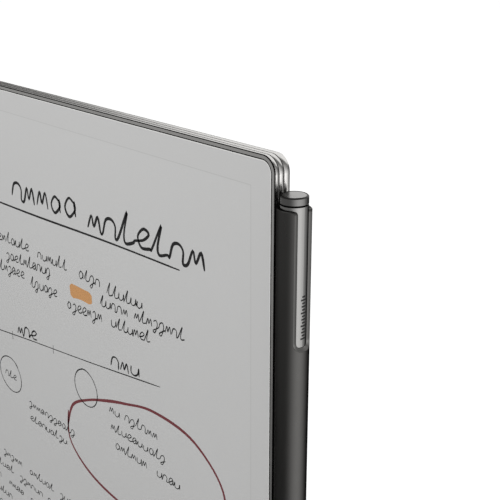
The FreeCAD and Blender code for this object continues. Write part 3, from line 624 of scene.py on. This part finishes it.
def end_rows(height, squareness):
    quarter = math.pi / 2
    return [
        END_START - height * math.sin(quarter * i / END_ROWS) ** (2 / squareness)
        for i in range(1, END_ROWS + 1)
    ]


def shell_rows():
    """Heights of the shell's rows, close together where the window's outline turns."""
    quarter = [math.radians(angle) for angle in range(0, 91, MOUTH_STEP)]
    mouth = [WINDOW_TOP - WINDOW_CORNER * (1 - math.cos(a)) for a in quarter]
    mouth.insert(1, WINDOW_TOP - RIM_CHAMFER)
    straight = divide(mouth[-1], END_START, STRAIGHT_ROWS)
    ends = end_rows(END_HEIGHT, END_SQUARENESS)
    ends += end_rows(END_HEIGHT + BEVEL_WIDTH, BEVEL_SQUARENESS)
    plain = divide(min(ends), SHELL_LOW.z, PLAIN_ROWS)
    return sorted(set(mouth + straight + ends + plain), reverse=True)


def shell_columns(z):
    """Places round half of the shell at a height, from the window's edge to the middle of the flat."""
    flat_start = SHELL_RADIUS * math.acos(-(AXIS_X - SHELL_LOW.x) / SHELL_RADIUS)
    edge = window_edge(z) if z > WINDOW_BOTTOM else 0.0
    bevel = bevel_edge(z) if z > WINDOW_BOTTOM - BEVEL_WIDTH else 0.0
    return [
        edge,
        *divide(edge, bevel, BEVEL_COLUMNS),
        *divide(bevel, flat_start, SIDE_COLUMNS),
        *divide(flat_start, math.pi * SHELL_RADIUS, FLAT_COLUMNS),
    ]


def oval_reach(across, down, squareness):
    """How far out a place is from a superellipse's centre: 1 on its outline."""
    return (across ** squareness + down ** squareness) ** (1 / squareness)


def bevel_share(s, z):
    """How far a place is across the bevel: 0 at the window's edge and 1 at the full radius."""
    if z >= END_START:
        return (s - window_edge(z)) / BEVEL_WIDTH
    drop = END_START - z
    half = WINDOW_HALF + BEVEL_WIDTH
    height = END_HEIGHT + BEVEL_WIDTH
    near = oval_reach(s / WINDOW_HALF, drop / END_HEIGHT, END_SQUARENESS)
    far = oval_reach(s / half, drop / height, BEVEL_SQUARENESS)
    return (1 - 1 / near) / (1 / far - 1 / near)


def shell_radius(s, z):
    """Outer radius at a place round the shell and a height."""
    radius = SHELL_RADIUS - BEVEL_DROP * (1 - min(1.0, max(0.0, bevel_share(s, z))))
    radius -= max(0.0, RIM_CHAMFER - (WINDOW_TOP - z))
    turn = math.cos(s / SHELL_RADIUS)
    flat = AXIS_X - SHELL_LOW.x
    return min(radius, flat / -turn) if turn < 0 else radius


def make_stylus_shell(look):
    """The shell in two mirrored halves, each an outer and an inner skin that are closed at their ends."""
    work = bmesh.new()
    rows = shell_rows()
    for side in (1, -1):
        outside = []
        inside = []
        for z in rows:
            outer_row = []
            inner_row = []
            for s in shell_columns(z):
                angle = side * s / SHELL_RADIUS
                for radius, row in ((shell_radius(s, z), outer_row), (SHELL_BORE, inner_row)):
                    place = (AXIS_X + radius * math.cos(angle), AXIS_Y + radius * math.sin(angle), z)
                    row.append(work.verts.new(place))
            outside.append(outer_row)
            inside.append(inner_row)
        for layer in (outside, inside):
            for first, second in zip(layer, layer[1:]):
                grid_faces(work, first, second)
        grid_faces(work, outside[0], inside[0])
        grid_faces(work, outside[-1], inside[-1])
        open_rows = [i for i, z in enumerate(rows) if z >= WINDOW_BOTTOM - WELD]
        grid_faces(work, [outside[i][0] for i in open_rows], [inside[i][0] for i in open_rows])
    bmesh.ops.remove_doubles(work, verts=work.verts, dist=WELD)
    bmesh.ops.dissolve_degenerate(work, edges=work.edges, dist=WELD)
    mesh = finish_mesh("stylus_shell_bevelled", work, sharp_angle=13)
    piece = add_piece("stylus_shell_bevelled", mesh, "stylus", look)
    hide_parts("stylus_shell")


# The ticks' reach to each side of their middle, and the middle itself, are in degrees round the tube.
TICK_COUNT = 14
TICK_PITCH = 0.84 * MM
TICK_HEIGHT = 0.44 * MM
TICK_THICKNESS = 0.012 * MM
TICK_START = WINDOW_BOTTOM + 2.0 * MM
TICK_MIDDLE = 5
TICK_REACHES = (15, 9, 12, 9)
TICK_STEP = 3


def make_tube_ticks(look):
    """A row of plain ticks inlaid in the tube near the window's lower end."""
    work = bmesh.new()
    for i in range(TICK_COUNT):
        low = TICK_START + i * TICK_PITCH
        high = low + TICK_HEIGHT
        reach = TICK_REACHES[i % len(TICK_REACHES)]
        angles = [math.radians(TICK_MIDDLE + a) for a in range(-reach, reach + 1, TICK_STEP)]
        rings = []
        for radius, z in ((0.0, low), (TICK_THICKNESS, low), (TICK_THICKNESS, high), (0.0, high)):
            distance = TUBE_RADIUS + radius
            ring = [(AXIS_X + distance * math.cos(a), AXIS_Y + distance * math.sin(a), z) for a in angles]
            rings.append([work.verts.new(place) for place in ring])
        for start, end in zip(rings, rings[1:] + rings[:1]):
            grid_faces(work, start, end)
        work.faces.new([ring[0] for ring in rings])
        work.faces.new([ring[-1] for ring in reversed(rings)])
    mesh = finish_mesh("tube_ticks", work, sharp_angle=30)
    add_piece("tube_ticks", mesh, "stylus", look)


# --- ink on the page ---
INK_BACK = GLASS_LOW.y - 0.003 * MM
INK_FRONT = GLASS_LOW.y - 0.015 * MM
# How a stroke's width starts at its ends and grows with each point, and how it swells along the way.
STROKE_START = 0.55
STROKE_GROWTH = 0.25
STROKE_SWELL = 0.12
STROKE_SWELL_RATE = 0.35
# How unevenly the scribbles are written: shares of a letter's pitch or height, and a chance of a pen lift.
BASELINE_WANDER = 0.05
LETTER_WIDTHS = (1.02, 1.16)
LETTER_HEIGHTS = (0.92, 1.08)
SLANT = 0.14
LIFT_CHANCE = 0.3
LETTER_STEPS = 5


def smooth_path(points, steps):
    """A smooth line through given (x, z) points."""
    padded = [points[0]] + list(points) + [points[-1]]
    path = []
    for before, start, end, after in zip(padded, padded[1:], padded[2:], padded[3:]):
        for i in range(steps):
            t = i / steps
            path.append(tuple(
                0.5 * (2 * p1 + (p2 - p0) * t + (2 * p0 - 5 * p1 + 4 * p2 - p3) * t * t
                       + (3 * p1 - p0 - 3 * p2 + p3) * t ** 3)
                for p0, p1, p2, p3 in zip(before, start, end, after)
            ))
    path.append(points[-1])
    return path


def add_stroke(work, path, width, rng):
    """A thin raised bar along a path in millimetres, with the uneven width of a pen."""
    last = len(path) - 1
    rings = []
    swell = rng.uniform(0, math.tau)
    for i, (x, z) in enumerate(path):
        ahead = path[min(i + 1, last)]
        behind = path[max(i - 1, 0)]
        length = math.hypot(ahead[0] - behind[0], ahead[1] - behind[1]) or 1.0
        across = ((behind[1] - ahead[1]) / length, (ahead[0] - behind[0]) / length)
        taper = min(1.0, STROKE_START + STROKE_GROWTH * min(i, last - i))
        half = width / 2 * taper * (1 + STROKE_SWELL * math.sin(swell + i * STROKE_SWELL_RATE))
        left = ((x + across[0] * half) * MM, (z + across[1] * half) * MM)
        right = ((x - across[0] * half) * MM, (z - across[1] * half) * MM)
        corners = [(left, INK_BACK), (left, INK_FRONT), (right, INK_FRONT), (right, INK_BACK)]
        rings.append([work.verts.new((p[0], y, p[1])) for p, y in corners])
    for first, second in zip(rings, rings[1:]):
        grid_faces(work, first + first[:1], second + second[:1])
    work.faces.new(rings[0])
    work.faces.new(list(reversed(rings[-1])))


# Pen moves in a box about one unit wide and high, to be chained into illegible scribbles.
MOVES = (
    ((0.0, 0.1), (0.12, 0.85), (0.42, 1.0), (0.66, 0.7), (0.70, 0.05)),
    ((0.0, 0.25), (0.45, 0.45), (0.72, 0.85), (0.42, 1.02), (0.14, 0.55), (0.36, 0.03), (0.82, 0.12)),
    ((0.05, 0.85), (0.08, 0.2), (0.38, 0.0), (0.68, 0.3), (0.74, 0.9), (0.82, 0.1)),
    ((0.0, 0.2), (0.42, 1.6), (0.30, 0.5), (0.42, 0.02), (0.85, 0.2)),
    ((0.0, 0.05), (0.18, 0.85), (0.36, 0.25), (0.56, 0.9), (0.78, 0.05)),
    ((0.62, 0.8), (0.30, 1.0), (0.08, 0.45), (0.36, 0.0), (0.70, 0.5), (0.60, 0.9), (0.74, 0.12)),
    ((0.1, 0.75), (0.45, 1.0), (0.66, 0.5), (0.42, -0.55), (0.12, -0.40), (0.85, 0.25)),
)
MOVES_ABOVE_LINE = MOVES[:-1]


def word(x, z, length, height, pitch, rise, rng, moves=MOVES):
    """A scribble that stands for a word, as paths in millimetres: the pen lifts now and then."""
    paths = []
    points = []
    for i in range(max(1, round(length / pitch))):
        left = x + pitch * i
        base = z + rise * pitch * i + rng.uniform(-BASELINE_WANDER, BASELINE_WANDER) * height
        wide = pitch * rng.uniform(*LETTER_WIDTHS)
        tall = height * rng.uniform(*LETTER_HEIGHTS)
        lean = SLANT * height
        points += [(left + px * wide + pz * lean, base + pz * tall) for px, pz in rng.choice(moves)]
        if rng.random() < LIFT_CHANCE:
            paths.append(smooth_path(points, LETTER_STEPS))
            points = []
    if points:
        paths.append(smooth_path(points, LETTER_STEPS))
    return paths


def make_ink(name, strokes, look, seed):
    """One piece from (path, width) strokes."""
    rng = random.Random(seed)
    work = bmesh.new()
    for path, width in strokes:
        add_stroke(work, path, width, rng)
    mesh = finish_mesh(name, work, sharp_angle=40)
    add_piece(name, mesh, "tablet", look)


def words(spans, height, pitch, rise, rng, moves=MOVES):
    """Scribbled words, from (start, baseline, length) spans in millimetres that climb slightly."""
    paths = []
    for start, baseline, length in spans:
        paths += word(start, baseline, length, height, pitch, rise, rng, moves)
    return paths


def ring_path(x, z, radius_x, radius_z, start, sweep, wobble):
    """A hand-drawn ring or part of one, in degrees, whose radius wanders a little."""
    steps = max(8, round(abs(sweep) / 6))
    path = []
    for i in range(steps + 1):
        angle = math.radians(start + sweep * i / steps)
        grow = 1 + wobble * math.sin(2.3 * angle + 0.6)
        path.append((x + radius_x * grow * math.cos(angle), z + radius_z * grow * math.sin(angle)))
    return path


def note_rows(rng):
    """Rows of small scribbles that fill the middle of the page, with gaps between words."""
    paths = []
    for row in range(6):
        left = -70 + rng.uniform(0, 2)
        while left < 58:
            length = rng.uniform(9, 24)
            paths += words([(left, -8.0 - 6.4 * row, length)], 2.0, 2.9, 0.01, rng)
            left += length + 4.5
    return paths


def make_page(ink, red, orange):
    """Illegible notes: a heading, three lines, a timeline, a list in a red ring and three linked boxes.

    Places and sizes are in millimetres.
    """
    rng = random.Random(11)
    spans = [(-71, 99.6, 33), (-30, 100.0, 40), (16, 99.9, 57)]
    heading = words(spans, 5.8, 8.1, 0.03, rng, MOVES_ABOVE_LINE)
    underline = smooth_path([(-72, 95.6), (-20, 96.6), (25, 98.2), (61, 98.9)], 8)
    bold = [(path, 0.92) for path in heading] + [(underline, 0.62)]
    make_ink("ink_heading", bold, ink, 1)

    spans = [(-70, 82.0, 18), (-46, 82.0, 24), (-16, 82.0, 20), (9, 82.0, 12.4), (24.5, 81.2, 18.6)]
    lines = words(spans, 2.5, 3.1, 0.03, rng)
    spans = [(-70, 76.2, 26), (-38, 76.2, 30), (20.5, 76.2, 15), (38.5, 77.4, 24)]
    lines += words(spans, 2.5, 3.0, 0.05, rng)
    spans = [(-70, 70.4, 15), (-49, 70.4, 22), (-22, 70.4, 16), (1, 69.6, 20), (26, 71.2, 20)]
    lines += words(spans, 2.5, 2.9, 0.06, rng)
    make_ink("ink_lines", [(path, 0.38) for path in lines], ink, 2)

    label = words([(24.8, 57.2, 15)], 3.6, 5.2, 0.15, rng, MOVES_ABOVE_LINE)
    label += words([(-34, 49.0, 15), (-66, 44.6, 15)], 3.2, 4.6, 0.15, rng)
    timeline = smooth_path([(-72, 42.2), (-30, 48.4), (10.6, 53.9), (50.3, 59.7)], 8)
    ticks = [[(x, 52.4 + 0.146 * x - 1.6), (x + 0.2, 52.4 + 0.146 * x + 1.6)] for x in (-68, -38, -10)]
    rings = [
        ring_path(9.4, 43.8, 6.5, 6.5, 100, 372, 0.02),
        ring_path(-42, 30.0, 7.5, 7.0, 40, 375, 0.03),
    ]
    strokes = [(path, 0.58) for path in label]
    strokes += [(timeline, 0.34)] + [(path, 0.38) for path in ticks + rings]
    make_ink("ink_timeline", strokes, ink, 3)

    notes = words([(22.6, 40.4, 6), (31, 40.8, 16), (23, 34.4, 28), (25, 28.4, 18), (47, 28.6, 12)],
                  2.2, 2.9, 0.02, rng)
    notes += words([(-46, 28.6, 8), (-30, 22.0, 30), (-30, 16.2, 24)], 1.9, 2.8, 0.01, rng)
    make_ink("ink_notes", [(path, 0.32) for path in notes + note_rows(rng)], ink, 4)

    boxes = []
    for left, base, width, height in ((-66, -74, 36, 18), (-14, -76, 34, 20), (38, -73, 32, 17)):
        corners = [(left, base), (left + width, base + 0.6), (left + width - 0.4, base + height),
                   (left + 0.3, base + height - 0.5), (left, base)]
        boxes += [smooth_path([a, b], 4) for a, b in zip(corners, corners[1:])]
    arrows = [smooth_path([(-29, -64), (-22, -62.6), (-15, -64)], 5)]
    arrows += [smooth_path([(21, -65), (29, -63), (37, -64)], 5)]
    arrows += [[(-17.2, -62.2), (-15, -64), (-17.8, -65.6)], [(34.6, -62.4), (37, -64), (34.4, -66)]]
    make_ink("ink_boxes", [(path, 0.30) for path in boxes + arrows], ink, 5)

    loop = smooth_path([
        (-3.5, 25), (0.5, 34.2), (10, 39.7), (20.8, 43.7), (31, 46.7), (46.7, 50.1), (66, 48.0),
        (79, 36), (72, 18), (44, 9), (14, 10.5), (-2, 19), (-2.6, 31.0),
    ], 8)
    make_ink("ink_red_ring", [(loop, 0.95)], red, 6)
    marker = smooth_path([(3.4, 76.3), (9, 76.8), (16.0, 76.7)], 6)
    make_ink("ink_marker", [(marker, 4.6)], orange, 7)


def pen_ink(name, color):
    """E-paper ink: matt, with the fine mottling of its particles."""
    look = Look(name, color, roughness=0.55)
    look.vary_color(look.noise(INK_GRAIN, detail=4.0), 0.14)
    return look.material


# --- USB-C contacts ---
# The strips' middles are a little out from the tongue's faces, and some way up from its lower end.
CONTACT_COUNT = 12
CONTACT_PITCH = 0.5 * MM
CONTACT_SIZE = (0.24 * MM, 0.03 * MM, 3.0 * MM)
CONTACT_BEVEL = 0.006 * MM
CONTACT_OUT = 0.012 * MM
CONTACT_UP = 2.1 * MM
TONGUE_HALF = 0.35 * MM


def make_usb_contacts(look):
    """A row of gold strips on each face of the port's tongue."""
    low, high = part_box("usb_c_tongue")
    centre_x = (low.x + high.x) / 2
    centre_y = (low.y + high.y) / 2
    work = bmesh.new()
    for face in (-1, 1):
        for i in range(CONTACT_COUNT):
            x = centre_x + (i - (CONTACT_COUNT - 1) / 2) * CONTACT_PITCH
            y = centre_y + face * (TONGUE_HALF + CONTACT_OUT)
            z = low.z + CONTACT_UP
            cube = bmesh.ops.create_cube(work, size=1.0)["verts"]
            bmesh.ops.scale(work, vec=CONTACT_SIZE, verts=cube)
            bmesh.ops.translate(work, vec=(x, y, z), verts=cube)
    bmesh.ops.bevel(work, geom=work.edges[:], offset=CONTACT_BEVEL, segments=1, affect="EDGES")
    mesh = finish_mesh("usb_contacts", work, sharp_angle=30)
    add_piece("usb_contacts", mesh, "tablet", look)


# --- the scene ---
make_camera()
make_floor()
make_world()
make_panel("key", place=(-0.02, -0.26, 0.34), size=0.25, power=0.62)
make_panel("rear", place=(0.3, 1.4, 0.9), size=1.2, power=3.0)
looks = make_looks()
dress_nodes(looks)
make_stylus_shell(looks["stylus_shell"])
make_tube_ticks(looks["black_plastic"])
make_page(pen_ink("page_black", (0.012, 0.012, 0.013)), pen_ink("page_red", (0.16, 0.028, 0.034)),
          pen_ink("page_orange", (0.50, 0.25, 0.09)))
make_usb_contacts(looks["contact_gold"])

scene = bpy.context.scene
scene.view_settings.view_transform = "Standard"
